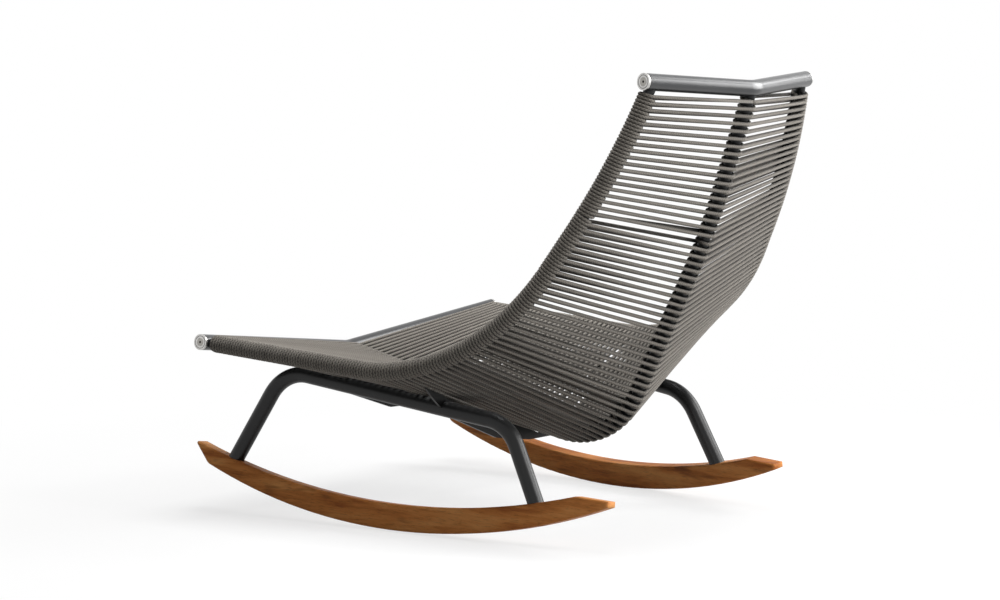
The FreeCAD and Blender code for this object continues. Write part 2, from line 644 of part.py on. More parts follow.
class Winding:
    def __init__(self, side):
        self.wire = rail_wires[side]
        self.sign = dict(sides)[side]
        self.rail_starts, self.step = rail_places(self.wire)
        half = 0 if self.sign > 0 else 1
        self.keel_starts = [pair[half] for pair in keel_places()]

    def touch(self, rail_at, keel_at, face):
        # where a span on the upper (1) or under (-1) face touches the keel and the rail
        rail_spot, rail_way = at_length(self.wire, rail_at)
        keel_spot, keel_way = at_length(keel_wire, keel_at)
        out = (rail_spot - keel_spot).normalize()
        reach = hug * face * self.sign
        keel_touch = keel_spot + out.cross(keel_way).normalize() * reach
        rail_touch = rail_spot + out.cross(rail_way).normalize() * reach
        return keel_touch, rail_touch

    def loop_edges(self, loop):
        rail_at, keel_at = self.rail_starts[loop], self.keel_starts[loop]
        keel_upper, rail_upper = self.touch(rail_at, keel_at, 1)
        keel_under, rail_under = self.touch(rail_at + 1.5 * self.step, keel_at, -1)
        out = (rail_upper - keel_upper).normalize()
        home = (keel_under - rail_under).normalize()
        turns = [(rail_upper, out)]
        for number, face, way in ((1, -1, home), (2, 1, out)):
            turns.append((self.touch(rail_at + self.step * number / 2, keel_at, face)[1], way))
        turns.append((rail_under, home))
        edges = [line(keel_upper, rail_upper)]
        for (one, one_way), (two, two_way) in zip(turns, turns[1:]):
            edges.extend(half_turn(one, one_way, two, two_way))
        edges.append(line(rail_under, keel_under))
        return edges

    def joining_edges(self, loop):
        # round the keel: the cord changes place where the other half's cord has left the tube
        under = self.touch(self.rail_starts[loop] + 1.5 * self.step, self.keel_starts[loop], -1)
        upper = self.touch(self.rail_starts[loop + 1], self.keel_starts[loop + 1], 1)
        here, here_way = at_length(keel_wire, self.keel_starts[loop])
        there, there_way = at_length(keel_wire, self.keel_starts[loop + 1])
        spoke, last = under[0] - here, upper[0] - there
        lap = math.degrees(spoke.getAngle(Vector(-spoke.x, spoke.y, spoke.z)))
        held = Rotation(here_way, self.sign * (lap + size("cord_hold"))).multVec(spoke)
        stops = [(under[0], (under[0] - under[1]).normalize()),
                 (here + held, here_way.cross(held).normalize() * self.sign)]
        if lap < size("cord_hold") - 5:
            arrived = Rotation(there_way, self.sign * (lap - size("cord_hold"))).multVec(last)
            stops.append((there + arrived, there_way.cross(arrived).normalize() * self.sign))
        stops.append((upper[0], (upper[1] - upper[0]).normalize()))
        edges = []
        for (one, one_way), (two, two_way) in zip(stops, stops[1:]):
            edges.extend(half_turn(one, one_way, two, two_way))
        return edges

    def edges(self, first, count, led_in, led_out):
        # a length of whole loops; where it is not tied off at a rib, the cord goes on from length to length
        edges = []
        for loop in range(first, first + count):
            edges.extend(self.loop_edges(loop))
            if loop + 1 < first + count or led_out:
                edges.extend(self.joining_edges(loop))
        if led_in:
            begin, end = [edges[0].valueAt(p) for p in edges[0].ParameterRange]
            edges[0] = line(begin + (end - begin).normalize() * (cord + size("cord_joint")), end)
        if led_out:
            rail_at, keel_at = self.rail_starts[first + count], self.keel_starts[first + count]
            keel_upper, rail_upper = self.touch(rail_at, keel_at, 1)
            edges.append(line(keel_upper, keel_upper + (rail_upper - keel_upper).normalize() * cord))
        return edges


def least_gap(edges):
    # the least free room between the cord and itself, measured on points of its middle line
    reach = 2 * cord
    cells, travelled, least = {}, 0.0, reach
    for edge in edges:
        count = max(3, int(edge.Length / size("cord_step")) + 1)
        for number, point in enumerate(edge.discretize(Number=count)[:-1]):
            here = travelled + edge.Length * number / (count - 1)
            key = [int(value // reach) for value in point]
            for a in (-1, 0, 1):
                for b in (-1, 0, 1):
                    for c in (-1, 0, 1):
                        for there, other in cells.get((key[0] + a, key[1] + b, key[2] + c), ()):
                            if here - there > 3 * hug:
                                least = min(least, point.distanceToPoint(other))
            cells.setdefault(tuple(key), []).append((here, point))
        travelled += edge.Length
    return least - cord


for side in dict(sides):
    winding = Winding(side)
    first = 0
    for number, count in enumerate(loop_counts, start=1):
        edges = winding.edges(first, count, number > 3, 2 < number < len(loop_counts))
        wire = Part.Wire(edges)
        start, way = edges[0].valueAt(edges[0].FirstParameter), edges[0].tangentAt(edges[0].FirstParameter)
        ring = Part.Wire(Part.Circle(start, way, cord / 2).toShape())
        tube = wire.makePipeShell([ring], True, False)
        name = "cord_%s_%d" % (side, number)
        feature = doc.addObject("Part::Feature", name)
        feature.Shape = tube
        feature.Placement = Placement()
        keep(feature, name)
        full = math.pi * cord ** 2 / 4 * wire.Length
        print(name, "volume ratio %.4f" % (tube.Volume / full), "least gap %.2f" % least_gap(edges))
        first += count

doc.recompute()
for item in doc.Objects:
    if "Invalid" in item.State or "Error" in item.State:
        raise RuntimeError("failed: " + item.Name)
for piece in pieces:
    if piece.Shape.isNull() or not piece.Shape.isValid():
        raise RuntimeError("bad shape: " + piece.Label)
os.makedirs("parts", exist_ok=True)
for piece in pieces:
    piece.Shape.exportStep("parts/%s.step" % piece.Label)
print(len(pieces), "pieces written")
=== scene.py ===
import math
import random

import bpy
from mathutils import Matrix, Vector


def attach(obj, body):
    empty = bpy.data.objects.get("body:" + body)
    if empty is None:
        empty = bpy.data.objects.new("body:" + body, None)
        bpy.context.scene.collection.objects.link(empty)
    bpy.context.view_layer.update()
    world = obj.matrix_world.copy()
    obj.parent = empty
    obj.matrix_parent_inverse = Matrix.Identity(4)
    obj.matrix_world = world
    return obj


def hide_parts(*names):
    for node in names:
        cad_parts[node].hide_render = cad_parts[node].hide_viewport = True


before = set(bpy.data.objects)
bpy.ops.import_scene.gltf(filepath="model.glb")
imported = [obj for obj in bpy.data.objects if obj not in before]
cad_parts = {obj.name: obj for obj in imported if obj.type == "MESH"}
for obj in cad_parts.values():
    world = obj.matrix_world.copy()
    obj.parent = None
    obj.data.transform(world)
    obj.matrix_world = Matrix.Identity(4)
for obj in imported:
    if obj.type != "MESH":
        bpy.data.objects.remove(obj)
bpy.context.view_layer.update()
scene = bpy.context.scene
print("chair frame loaded:", len(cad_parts), "nodes")

# camera, from the lines of the chair in the photograph
cameraView = {"place": (4.0334, 3.0300, 0.8784), "yaw": 37.475, "pitch": 5.318, "lens": 95.4, "sensor": 36,
              "shift": (-0.0037, -0.0025)}


def makeCamera():
    yaw, pitch = math.radians(cameraView["yaw"]), math.radians(cameraView["pitch"])
    look = Vector((-math.cos(yaw) * math.cos(pitch), -math.sin(yaw) * math.cos(pitch), -math.sin(pitch)))
    bpy.ops.object.camera_add(location=cameraView["place"])
    camera = bpy.context.object
    camera.name = "photoCamera"
    camera.rotation_mode = "QUATERNION"
    camera.rotation_quaternion = look.to_track_quat("-Z", "Y")
    camera.data.sensor_width = cameraView["sensor"]
    camera.data.lens = cameraView["lens"]
    camera.data.shift_x, camera.data.shift_y = cameraView["shift"]
    scene.camera = camera


makeCamera()
print("camera set")


# material helpers
def startMaterial(name):
    material = bpy.data.materials.new(name)
    material.use_nodes = True
    tree = material.node_tree
    return material, tree, tree.nodes["Principled BSDF"]


def addNode(tree, kind, **values):
    # a node's own settings and its sockets are both given by name
    node = tree.nodes.new(kind)
    for key, value in values.items():
        if hasattr(node, key):
            setattr(node, key, value)
        else:
            node.inputs[key].default_value = value
    return node


def addRamp(tree, source, places, colours):
    ramp = tree.nodes.new("ShaderNodeValToRGB")
    elements = ramp.color_ramp.elements
    while len(elements) < len(places):
        elements.new(0.5)
    for element, place, colour in zip(elements, places, colours):
        element.position = place
        element.color = (*colour, 1)
    tree.links.new(source, ramp.inputs["Fac"])
    return ramp.outputs["Color"]


def addGreyRamp(tree, source, places, tones):
    return addRamp(tree, source, places, [(tone, tone, tone) for tone in tones])


def addMath(tree, kind, *values):
    node = tree.nodes.new("ShaderNodeMath")
    node.operation = kind
    for socket, value in zip(node.inputs, values):
        if isinstance(value, (int, float)):
            socket.default_value = value
        else:
            tree.links.new(value, socket)
    return node.outputs[0]


def addShares(tree, *shares):
    # a weighted sum of (source, weight) pairs
    parts = [addMath(tree, "MULTIPLY", source, weight) for source, weight in shares]
    total = parts[0]
    for part in parts[1:]:
        total = addMath(tree, "ADD", total, part)
    return total


def addTint(tree, colour, tone):
    # a Mix node's colour sockets are its inputs 6 and 7 and its output 2
    tint = addNode(tree, "ShaderNodeMix", data_type="RGBA", blend_type="MULTIPLY", Factor=1)
    tree.links.new(colour, tint.inputs[6])
    tree.links.new(tone, tint.inputs[7])
    return tint.outputs[2]


def addNoise(tree, coords, scale, detail, roughness=0.5):
    node = addNode(tree, "ShaderNodeTexNoise", Scale=scale, Detail=detail, Roughness=roughness)
    tree.links.new(coords, node.inputs["Vector"])
    return node.outputs["Fac"]


def addPaintedShadeMask(tree, reach, samples):
    node = addNode(tree, "ShaderNodeAmbientOcclusion", samples=samples, Distance=reach)
    return node.outputs["AO"]


def addBump(tree, shader, height, depth):
    strength, distance = depth
    bump = addNode(tree, "ShaderNodeBump", Strength=strength, Distance=distance)
    tree.links.new(height, bump.inputs["Height"])
    tree.links.new(bump.outputs["Normal"], shader.inputs["Normal"])
    return bump


def mapped(tree, scale=(1, 1, 1), turn=(0, 0, 0)):
    source = tree.nodes.new("ShaderNodeTexCoord")
    mapping = addNode(tree, "ShaderNodeMapping", Scale=scale, Rotation=turn)
    tree.links.new(source.outputs["Object"], mapping.inputs["Vector"])
    return mapping.outputs["Vector"]


# one anthracite powder coat in two copies: satin and lighter on the two rails as painted light, darker on
# the legs, ribs and slim tubes as painted shade
railCoatPaintedLight = {"name": "anthraciteRailsPaintedLight", "dark": (0.020, 0.0206, 0.022), "light": (0.030, 0.031, 0.033),
            "rough": (0.28, 0.31), "gloss": 0.66}
legCoatPaintedShade = {"name": "anthraciteLegsPaintedShade", "dark": (0.0036, 0.0037, 0.0039), "light": (0.0074, 0.0077, 0.0081),
           "rough": (0.35, 0.41), "gloss": 0.3}
coatGrain = {"cloud": 9, "cloudDetail": 5, "tintSpread": (0.3, 0.7), "roughSpread": (0.3, 0.75),
             "peel": 1400, "peelDetail": 2, "depth": (0.04, 0.0002)}


def makePowderCoat(coat):
    material, tree, shader = startMaterial(coat["name"])
    coords = mapped(tree)
    cloud = addNoise(tree, coords, coatGrain["cloud"], coatGrain["cloudDetail"])
    paint = addRamp(tree, cloud, coatGrain["tintSpread"], (coat["dark"], coat["light"]))
    tree.links.new(paint, shader.inputs["Base Color"])
    sheen = addGreyRamp(tree, cloud, coatGrain["roughSpread"], coat["rough"])
    tree.links.new(sheen, shader.inputs["Roughness"])
    shader.inputs["Specular IOR Level"].default_value = coat["gloss"]
    peel = addNoise(tree, coords, coatGrain["peel"], coatGrain["peelDetail"])
    addBump(tree, shader, peel, coatGrain["depth"])
    return material


# satin stainless: bright caps, duller screws and bolts; painted shade darkens the grooves and sockets
capFinish = {"name": "satinSteelCap", "bright": (0.60, 0.59, 0.57), "dull": (0.46, 0.45, 0.44),
             "rough": (0.28, 0.44)}
boltFinish = {"name": "satinSteelBolt", "bright": (0.40, 0.385, 0.36), "dull": (0.30, 0.29, 0.27),
              "rough": (0.40, 0.56)}
steelGrain = {"streak": 700, "streakDetail": 2, "roughSpread": (0.2, 0.8), "smear": 120, "smearDetail": 4,
              "smearSpread": (0.35, 0.7), "paintedShade": 0.005, "paintedShadeSamples": 8, "paintedShadeSpread": (0.5, 0.9),
              "paintedShadeTones": (0.02, 1), "depth": (0.02, 0.0001)}


def makeSatinSteel(finish):
    material, tree, shader = startMaterial(finish["name"])
    coords = mapped(tree)
    streak = addNoise(tree, coords, steelGrain["streak"], steelGrain["streakDetail"])
    smear = addNoise(tree, coords, steelGrain["smear"], steelGrain["smearDetail"])
    steel = addRamp(tree, smear, steelGrain["smearSpread"], (finish["dull"], finish["bright"]))
    # painted shade: an ambient occlusion mask darkens the steel's colour in grooves and sockets
    paintedShade = addPaintedShadeMask(tree, steelGrain["paintedShade"], steelGrain["paintedShadeSamples"])
    paintedShadeTone = addGreyRamp(tree, paintedShade, steelGrain["paintedShadeSpread"], steelGrain["paintedShadeTones"])
    tree.links.new(addTint(tree, steel, paintedShadeTone), shader.inputs["Base Color"])
    brushed = addGreyRamp(tree, streak, steelGrain["roughSpread"], finish["rough"])
    tree.links.new(brushed, shader.inputs["Roughness"])
    shader.inputs["Metallic"].default_value = 1
    addBump(tree, shader, streak, steelGrain["depth"])
    return material


# oiled teak: soft mottling, fine straight grain, pores and short dark flecks along each board
teak = {"deep": (0.390, 0.122, 0.027), "mid": (0.610, 0.228, 0.060), "pale": (0.780, 0.355, 0.115),
        "toneSpread": (0.38, 0.5, 0.64), "patchShare": 0.66, "grainShare": 0.34, "toe": 6.52,
        "fleckSpread": (0.62, 0.74), "fleckTones": (1, 0.55), "poreSpread": (0.34, 0.46),
        "poreTones": (0.72, 1), "roughSpread": (0.3, 0.7), "rough": (0.42, 0.58), "gloss": 0.12,
        "depth": (0.2, 0.0003), "edge": 0.009, "edgeSamples": 8}
teakNoise = {"patch": {"stretch": (24, 4, 34), "detail": 3, "roughness": 0.45},
             "grain": {"stretch": (150, 2.5, 150), "detail": 4, "roughness": 0.5},
             "pores": {"stretch": (520, 12, 520), "detail": 3, "roughness": 0.6},
             "fleck": {"stretch": (60, 9, 75), "detail": 2, "roughness": 0.4}}


def makeTeak(name, sign):
    material, tree, shader = startMaterial(name)
    turn = (0, 0, math.radians(-sign * teak["toe"]))  # the grain runs along the board, which toes in
    noise = {key: addNoise(tree, mapped(tree, work["stretch"], turn), 1, work["detail"], work["roughness"])
             for key, work in teakNoise.items()}
    tone = addShares(tree, (noise["patch"], teak["patchShare"]), (noise["grain"], teak["grainShare"]))
    colour = addRamp(tree, tone, teak["toneSpread"], (teak["deep"], teak["mid"], teak["pale"]))
    flecks = addGreyRamp(tree, noise["fleck"], teak["fleckSpread"], teak["fleckTones"])
    pores = addGreyRamp(tree, noise["pores"], teak["poreSpread"], teak["poreTones"])
    marks = addMath(tree, "MULTIPLY", flecks, pores)
    tree.links.new(addTint(tree, colour, marks), shader.inputs["Base Color"])
    oil = addGreyRamp(tree, noise["grain"], teak["roughSpread"], teak["rough"])
    tree.links.new(oil, shader.inputs["Roughness"])
    shader.inputs["Specular IOR Level"].default_value = teak["gloss"]
    bump = addBump(tree, shader, noise["pores"], teak["depth"])
    # the boards' edges look well rubbed down
    eased = addNode(tree, "ShaderNodeBevel", samples=teak["edgeSamples"], Radius=teak["edge"])
    tree.links.new(eased.outputs["Normal"], bump.inputs["Normal"])
    return material


# round braided cord: the braid runs along the cord's own map, u round it and v along it in metres
braid = {"dark": (0.065, 0.058, 0.050), "light": (0.275, 0.252, 0.221), "toneSpread": (0.32, 0.86),
         "lay": 0.006, "strands": 4, "plaitShare": 0.42, "fade": 1.3, "fadeDetail": 4, "fadeRoughness": 0.6,
         "fadeShare": 0.46, "fleck": 900, "fleckDetail": 3, "fleckShare": 0.22, "paintedShade": 0.03,
         "paintedShadeSamples": 6, "paintedShadeSpread": (0.42, 0.95), "paintedShadeTones": (0.1, 1), "rough": 0.78,
         "gloss": 0.12, "sheen": 0.12, "sheenRough": 0.5, "fluff": 0.3, "depth": (0.5, 0.0004)}


def makeBraid():
    material, tree, shader = startMaterial("taupeBraidedCord")
    source = tree.nodes.new("ShaderNodeTexCoord")
    parts = tree.nodes.new("ShaderNodeSeparateXYZ")
    tree.links.new(source.outputs["UV"], parts.inputs[0])
    around = addMath(tree, "MULTIPLY", parts.outputs["X"], 2 * math.pi * braid["strands"])
    along = addMath(tree, "MULTIPLY", parts.outputs["Y"], 2 * math.pi / braid["lay"])
    leftLay = addMath(tree, "SINE", addMath(tree, "ADD", around, along))
    rightLay = addMath(tree, "SINE", addMath(tree, "SUBTRACT", around, along))
    wave = addMath(tree, "MAXIMUM", leftLay, rightLay)
    plait = addMath(tree, "MULTIPLY_ADD", wave, 0.5, 0.5)
    lengthwise = tree.nodes.new("ShaderNodeCombineXYZ")
    tree.links.new(parts.outputs["Y"], lengthwise.inputs["Y"])
    fade = addNoise(tree, lengthwise.outputs[0], braid["fade"], braid["fadeDetail"], braid["fadeRoughness"])
    fleck = addNoise(tree, mapped(tree), braid["fleck"], braid["fleckDetail"])
    tone = addShares(tree, (plait, braid["plaitShare"]), (fade, braid["fadeShare"]),
                     (fleck, braid["fleckShare"]))
    yarn = addRamp(tree, tone, braid["toneSpread"], (braid["dark"], braid["light"]))
    # painted shade: an ambient occlusion mask darkens the cord's colour in the crevices between cords and on
    # strings that lie behind others
    paintedShade = addPaintedShadeMask(tree, braid["paintedShade"], braid["paintedShadeSamples"])
    paintedShadeTone = addGreyRamp(tree, paintedShade, braid["paintedShadeSpread"], braid["paintedShadeTones"])
    tree.links.new(addTint(tree, yarn, paintedShadeTone), shader.inputs["Base Color"])
    shader.inputs["Roughness"].default_value = braid["rough"]
    shader.inputs["Specular IOR Level"].default_value = braid["gloss"]
    shader.inputs["Sheen Weight"].default_value = braid["sheen"]
    shader.inputs["Sheen Roughness"].default_value = braid["sheenRough"]
    fluff = addMath(tree, "MULTIPLY", fleck, braid["fluff"])
    addBump(tree, shader, addMath(tree, "ADD", plait, fluff), braid["depth"])
    return material


# black nylon for the inserts
nylonWork = {"grain": 700, "detail": 3, "spread": (0.3, 0.7), "tones": (0.012, 0.022), "rough": 0.6,
             "depth": (0.1, 0.0002)}


def makeNylon():
    material, tree, shader = startMaterial("blackNylon")
    grain = addNoise(tree, mapped(tree), nylonWork["grain"], nylonWork["detail"])
    black = addGreyRamp(tree, grain, nylonWork["spread"], nylonWork["tones"])
    tree.links.new(black, shader.inputs["Base Color"])
    shader.inputs["Roughness"].default_value = nylonWork["rough"]
    addBump(tree, shader, grain, nylonWork["depth"])
    return material


def dressNodes(material, *nodes):
    for node in nodes:
        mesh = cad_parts[node].data
        mesh.materials.clear()
        mesh.materials.append(material)


dressNodes(makePowderCoat(railCoatPaintedLight), "front_rail", "top_rail")
dressNodes(makePowderCoat(legCoatPaintedShade), "side_rail_left", "side_rail_right", "keel_tube", "leg_frame_left",
           "leg_frame_right", "rib_front", "rib_rear")
dressNodes(makeSatinSteel(capFinish), "front_cap_left", "front_cap_right", "top_cap_left", "top_cap_right")
dressNodes(makeSatinSteel(boltFinish), "cap_screws", "rocker_bolts", "bolt_washers")
dressNodes(makeNylon(), "cap_inserts", "foot_inserts")
dressNodes(makeTeak("teakLeft", 1), "rocker_left")
dressNodes(makeTeak("teakRight", -1), "rocker_right")
print("frame, caps and rockers dressed")

# the tubes that the cord is wound on, by the corners and bend radii of their middle lines
railTube = {"corners": ((0.42515, -0.43858, 0.33033), (0.40611, 0.17324, 0.2874),
                        (0.28965, 0.40089, 0.67151), (0.24536, 0.44993, 0.82451)), "bends": (0.4017, 1.294)}
keelTube = {"corners": ((0, -0.4606, 0.2815), (0, 0.1943, 0.1327), (0, 0.4022, 0.5405), (0, 0.4964, 0.8115)),
            "bends": (0.1567, 1.188)}
# loops are counted for each length of cord, from the front
# the joint is the length after which the winding turns round
cordWork = {"radius": 0.0034, "tubeRadius": 0.01, "slack": 0.0001, "endRoom": 0.021,
            "ribs": (-0.2136, 0.0324), "ribRoom": 0.0095, "ribReach": 0.04, "ribRest": 0.0055,
            "ribSpan": (0.3, 0.7),
            "loops": (17, 16, 7, 7, 6, 10, 10, 19), "joint": {"left": 7, "right": 8}, "jointRoom": 0.5,
            "lead": {"left": 0.0062, "right": 0}, "tail": 0.007, "tuck": 4, "sides": 8, "fineness": 3,
            "wander": 0.0004, "seed": 11}
railTurn, keelTurn = math.radians(60), math.radians(45)  # angle between the corner points of a turn
railWraps, keelWraps = 1.5, 0.5  # turns round the rail and the keel in each loop
halvings = 40  # steps of the search for a place along a tube
hug = cordWork["tubeRadius"] + cordWork["slack"] + cordWork["radius"]


def tubeLine(corners, bends):
    # straight stretches and arcs of a bent tube's middle line
    spots = [Vector(corner) for corner in corners]
    parts, start = [], spots[0]
    for before, corner, after, bend in zip(spots, spots[1:], spots[2:], bends):
        toBack, toFront = (before - corner).normalized(), (after - corner).normalized()
        half = toBack.angle(toFront) / 2
        entry, leave = corner + toBack * (bend / math.tan(half)), corner + toFront * (bend / math.tan(half))
        centre = corner + (toBack + toFront).normalized() * (bend / math.sin(half))
        parts.append({"start": start, "way": (entry - start).normalized(), "length": (entry - start).length})
        parts.append({"centre": centre, "spoke": entry - centre, "way": -toBack, "bend": bend,
                      "length": bend * (math.pi - 2 * half)})
        start = leave
    end = spots[-1]
    parts.append({"start": start, "way": (end - start).normalized(), "length": (end - start).length})
    return parts


def lineLength(line):
    return sum(part["length"] for part in line)


def spotAt(line, length):
    # the spot at a length along the line, and the line's direction there
    for part in line:
        if length <= part["length"] or part is line[-1]:
            break
        length -= part["length"]
    way = part["way"]
    if "bend" not in part:
        return part["start"] + way * length, way
    spoke, bend = part["spoke"], part["bend"]
    turn = length / bend
    spot = part["centre"] + spoke * math.cos(turn) + way * (bend * math.sin(turn))
    return spot, (way * math.cos(turn) - spoke * (math.sin(turn) / bend)).normalized()


def lengthAtY(line, y):
    low, high = 0, lineLength(line)
    for halving in range(halvings):
        middle = (low + high) / 2
        if spotAt(line, middle)[0].y < y:
            low = middle
        else:
            high = middle
    return low


keelLine = tubeLine(keelTube["corners"], keelTube["bends"])


def keelPlaces():
    # places of both halves along the keel; the loops part at the ribs
    counts = cordWork["loops"]
    front, rear = [lengthAtY(keelLine, y) for y in cordWork["ribs"]]
    room, ends = cordWork["ribRoom"], cordWork["endRoom"]
    stretches = ((ends, front - room, counts[0]), (front + room, rear - room, counts[1]),
                 (rear + room, lineLength(keelLine) - ends, sum(counts[2:])))
    places = []
    for first, last, count in stretches:
        step = (last - first) / (2 * count - 1)
        places.extend((first + step * 2 * n, first + step * (2 * n + 1)) for n in range(count))
    return places


def makeHalf(side):
    # one half of the stringing: its rail, where each loop starts on rail and keel, and a little wander
    sign = 1 if side == "left" else -1
    rail = tubeLine([(sign * x, y, z) for x, y, z in railTube["corners"]], railTube["bends"])
    counts, ends, wander = cordWork["loops"], cordWork["endRoom"], cordWork["wander"]
    loops, joint = sum(counts), sum(counts[:cordWork["joint"][side]])
    spare = cordWork["jointRoom"] if joint < loops else 0  # the joint takes half a turn of room on the rail
    step = (lineLength(rail) - 2 * ends) / (2 * loops + spare)
    drift = random.Random(cordWork["seed"] + sign)
    railAt = []
    for n in range(loops):
        room = spare if n >= joint else 0
        railAt.append(ends + step * (2 * n + room) + drift.uniform(-wander, wander) / 2)
    keelAt = [pair[0 if sign > 0 else 1] + drift.uniform(-wander, wander) for pair in keelPlaces()]
    keelAt.append(2 * keelAt[-1] - keelAt[-2])
    return {"sign": sign, "rail": rail, "step": step, "railAt": railAt, "keelAt": keelAt, "joint": joint,
            "lead": cordWork["lead"][side]}


def frameAt(line, length, other, sign):
    # a spot on a tube, its upper normal and its direction away from the other tube
    spot, way = spotAt(line, length)
    out = (spot - other).normalized()
    upper = out.cross(way).normalized()
    if sign < 0:
        upper.negate()
    return spot, upper, (out - way * out.dot(way)).normalized()


def stringEnds(half, railAt, keelAt, above):
    # a string from rail to keel, above or below both; a lower one beside a rib dips to rest on it
    railSpot, keelSpot = spotAt(half["rail"], railAt)[0], spotAt(keelLine, keelAt)[0]
    lift = hug if above else -hug
    railEnd = railSpot + frameAt(half["rail"], railAt, keelSpot, half["sign"])[1] * lift
    keelEnd = keelSpot + frameAt(keelLine, keelAt, railSpot, -half["sign"])[1] * lift
    way = (keelEnd - railEnd).normalized()
    start = railEnd + way * (hug * math.tan(railTurn / 2))
    end = keelEnd - way * (hug * math.tan(keelTurn / 2))
    near = min(abs(keelAt - lengthAtY(keelLine, y)) for y in cordWork["ribs"])
    if above or near > cordWork["ribReach"]:
        return [start, end]
    rest = Vector((0, 0, -cordWork["ribRest"]))
    return [start, *(start.lerp(end, share) + rest for share in cordWork["ribSpan"]), end]


def tubeTurns(line, places, other, sign, turn, fromAbove):
    # corner points of the turns round a tube
    points = []
    for number, place in enumerate(places):
        spot, up, away = frameAt(line, place, other, sign)
        first = up if fromAbove else -up
        angle = turn * (number + 0.5)
        spoke = first * math.cos(angle) + away * math.sin(angle)
        points.append(spot + spoke * (hug / math.cos(turn / 2)))
    return points


def railTurns(half, railAt, keelAt, fromAbove):
    corners = round(railWraps * 2 * math.pi / railTurn)
    places = [railAt + half["step"] * railTurn * (number + 0.5) / (2 * math.pi)
              for number in range(corners)]
    return tubeTurns(half["rail"], places, spotAt(keelLine, keelAt)[0], half["sign"], railTurn, fromAbove)


def keelTurns(half, keelFrom, keelTo, railAt, fromAbove):
    corners = round(keelWraps * 2 * math.pi / keelTurn)
    places = [keelFrom + (keelTo - keelFrom) * (number + 0.5) / corners for number in range(corners)]
    return tubeTurns(keelLine, places, spotAt(half["rail"], railAt)[0], -half["sign"], keelTurn, fromAbove)


def loopRoute(half, loop):
    railAt, step = half["railAt"][loop], half["step"]
    keelAt, keelNext, lead = half["keelAt"][loop], half["keelAt"][loop + 1], half["lead"]
    if loop < half["joint"]:
        # in above, round the keel, out below, one and a half turns round the rail
        backAt = railAt + step / 2
        points = stringEnds(half, railAt, keelAt, True)
        points += keelTurns(half, keelAt, keelAt - lead, railAt, True)
        points += reversed(stringEnds(half, backAt, keelAt - lead, False))
        return points + railTurns(half, backAt, keelAt, False)
    # past the joint: out above, round the rail, in below, round the keel
    backAt = railAt + step * railWraps
    points = list(reversed(stringEnds(half, railAt, keelAt, True))) + railTurns(half, railAt, keelAt, True)
    points += stringEnds(half, backAt, keelNext - lead, False)
    return points + keelTurns(half, keelNext - lead, keelNext, backAt, False)


def cordRoute(half, first, count):
    # each length of cord is led on to the next one; the outermost ends and the joint's tail are tucked in
    last, tuck, points = first + count - 1, cordWork["tuck"], []
    if first == 0:
        startAt = half["railAt"][0] - half["step"] * railWraps
        points = railTurns(half, startAt, half["keelAt"][0], False)[-tuck:]
    for loop in range(first, last + 1):
        points.extend(loopRoute(half, loop))
    if last + 1 == half["joint"] < len(half["railAt"]):
        tailAt = half["keelAt"][last + 1] + cordWork["tail"]
        return points + stringEnds(half, half["railAt"][last] + 2 * half["step"], tailAt, True)
    if last + 1 == len(half["railAt"]):
        return points[:-tuck]
    return points + loopRoute(half, last + 1)[:1]


def smoothLine(name, points):
    # the cord's line is one smooth spline, led by its corner points
    curve = bpy.data.curves.new(name + "Line", "CURVE")
    curve.dimensions = "3D"
    spline = curve.splines.new("NURBS")
    spline.points.add(len(points) - 1)
    for control, point in zip(spline.points, points):
        control.co = (*point, 1)
    spline.order_u = 3
    spline.use_endpoint_u = True
    spline.resolution_u = cordWork["fineness"]
    holder = bpy.data.objects.new(name + "Line", curve)
    scene.collection.objects.link(holder)
    bpy.context.view_layer.update()
    mesh = bpy.data.meshes.new_from_object(holder.evaluated_get(bpy.context.evaluated_depsgraph_get()))
    line = [vertex.co.copy() for vertex in mesh.vertices]
    bpy.data.objects.remove(holder)
    bpy.data.curves.remove(curve)
    bpy.data.meshes.remove(mesh)
    return line


def cordTube(name, line, material):
    # a round tube along the line, with a map that runs round and along the cord
    sides, radius = cordWork["sides"], cordWork["radius"]
    befores, afters = [line[0]] + line[:-1], line[1:] + [line[-1]]
    ways = [(after - before).normalized() for before, after in zip(befores, afters)]
    across = ways[0].orthogonal().normalized()
    vertices, lengths, travelled = [], [], 0
    for before, spot, way in zip(befores, line, ways):
        travelled += (spot - before).length
        lengths.append(travelled)
        across = (across - way * across.dot(way)).normalized()
        beside = way.cross(across)
        for side in range(sides):
            angle = 2 * math.pi * side / sides
            vertices.append(spot + (across * math.cos(angle) + beside * math.sin(angle)) * radius)
    faces, places = [], []
    for ring in range(len(line) - 1):
        for side in range(sides):
            following = (side + 1) % sides
            base, top = ring * sides, (ring + 1) * sides
            faces.append((base + side, base + following, top + following, top + side))
            for u, v in ((side, ring), (side + 1, ring), (side + 1, ring + 1), (side, ring + 1)):
                places.append((u / sides, lengths[v]))
    # the two closed ends
    for ring, order in ((0, range(sides - 1, -1, -1)), (len(line) - 1, range(sides))):
        faces.append([ring * sides + side for side in order])
        places.extend((side / sides, lengths[ring]) for side in order)
    mesh = bpy.data.meshes.new(name)
    mesh.from_pydata(vertices, [], faces)
    layer = mesh.uv_layers.new(name="UVMap")
    layer.data.foreach_set("uv", [value for place in places for value in place])
    mesh.polygons.foreach_set("use_smooth", [len(face) == 4 for face in faces])
    mesh.materials.append(material)
    mesh.update()
    piece = bpy.data.objects.new(name, mesh)
    scene.collection.objects.link(piece)
    return piece


def stringSeat():
    material = makeBraid()
    for side in ("left", "right"):
        half, first = makeHalf(side), 0
        for number, count in enumerate(cordWork["loops"], start=1):
            name = "cord_%s_%d" % (side, number)
            line = smoothLine(name, cordRoute(half, first, count))
            piece = cordTube("seatCord_%s_%d" % (side, number), line, material)
            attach(piece, "root")
            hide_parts(name)
            first += count
        print("strung the", side, "half")


stringSeat()

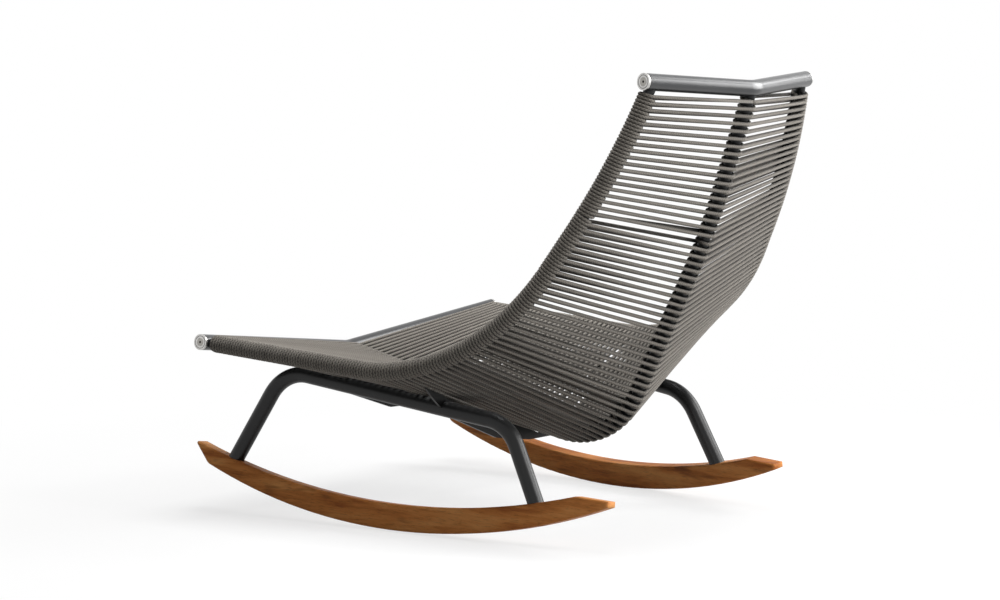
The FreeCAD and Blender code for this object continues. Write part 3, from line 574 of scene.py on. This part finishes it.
# studio: a pale floor that keeps the chair's soft shadow and runs out to white
studio = {"floor": 30, "rough": 0.9, "seenTone": 0.9, "bounceTone": 0.36, "glow": 0.72, "fade": (0.6, 1.7),
          "sky": 0.06}


def seenRay(tree):
    path = tree.nodes.new("ShaderNodeLightPath")
    seen = addMath(tree, "MAXIMUM", path.outputs["Is Camera Ray"], path.outputs["Is Glossy Ray"])
    return addMath(tree, "MAXIMUM", seen, path.outputs["Is Transmission Ray"])


def makeFloor():
    bpy.ops.object.select_all(action="DESELECT")
    bpy.ops.mesh.primitive_plane_add(size=studio["floor"])
    floor = bpy.context.object
    floor.name = "studioFloor"
    material, tree, shader = startMaterial("paleFloor")
    seen = seenRay(tree)
    tone = addGreyRamp(tree, seen, (0, 1), (studio["bounceTone"], studio["seenTone"]))
    tree.links.new(tone, shader.inputs["Base Color"])
    shader.inputs["Roughness"].default_value = studio["rough"]
    shader.inputs["Specular IOR Level"].default_value = 0
    away = addNode(tree, "ShaderNodeVectorMath", operation="LENGTH")
    tree.links.new(mapped(tree), away.inputs[0])
    reach = tree.nodes.new("ShaderNodeMapRange")
    reach.interpolation_type = "SMOOTHSTEP"
    tree.links.new(away.outputs["Value"], reach.inputs["Value"])
    reach.inputs["From Min"].default_value, reach.inputs["From Max"].default_value = studio["fade"]
    reach.inputs["To Min"].default_value, reach.inputs["To Max"].default_value = studio["glow"], 1
    glow = tree.nodes.new("ShaderNodeEmission")
    blend = tree.nodes.new("ShaderNodeMixShader")
    tree.links.new(addMath(tree, "MULTIPLY", seen, reach.outputs["Result"]), blend.inputs["Fac"])
    tree.links.new(shader.outputs["BSDF"], blend.inputs[1])
    tree.links.new(glow.outputs["Emission"], blend.inputs[2])
    tree.links.new(blend.outputs["Shader"], tree.nodes["Material Output"].inputs["Surface"])
    floor.data.materials.append(material)


def makeSky():
    world = bpy.data.worlds.new("studioWorld")
    scene.world = world
    world.use_nodes = True
    tree = world.node_tree
    back = tree.nodes["Background"]
    back.inputs["Color"].default_value = (1, 1, 1, 1)
    strength = addMath(tree, "MULTIPLY_ADD", seenRay(tree), 1 - studio["sky"], studio["sky"])
    tree.links.new(strength, back.inputs["Strength"])


# soft lamps: above, low and high beside the far rocker, behind the back, and a faint one by the near rocker
lamps = (
    {"name": "topSoftbox", "place": (0.0, 0.1, 3.2), "target": (0, 0, 0.4),
     "size": (1.5, 1.5), "power": 85},
    {"name": "rearSoftbox", "place": (-2.6, 2.2, 1.5), "target": (0, 0.1, 0.4),
     "size": (2.2, 1.9), "power": 100},
    {"name": "backSoftbox", "place": (-0.4, 3.2, 2.3), "target": (0, 0.3, 0.5),
     "size": (1.4, 1.4), "power": 85},
    {"name": "highSoftbox", "place": (-3.0, 1.45, 2.5), "target": (0, 0.2, 0.6),
     "size": (1.5, 1.5), "power": 52},
    {"name": "fillSoftbox", "place": (3.0, 1.2, 0.4), "target": (0.2, 0, 0.1),
     "size": (1.8, 0.7), "power": 5},
)


def addLamp(lampWork):
    place, target = Vector(lampWork["place"]), Vector(lampWork["target"])
    bpy.ops.object.light_add(type="AREA", location=place)
    lamp = bpy.context.object
    lamp.name = lampWork["name"]
    lamp.data.shape = "RECTANGLE"
    lamp.data.size, lamp.data.size_y = lampWork["size"]
    lamp.data.energy = lampWork["power"]
    lamp.visible_camera = False
    lamp.rotation_mode = "QUATERNION"
    lamp.rotation_quaternion = (target - place).to_track_quat("-Z", "Y")


makeFloor()
makeSky()
for lampWork in lamps:
    addLamp(lampWork)
scene.view_settings.view_transform = "Standard"
print("studio lit")
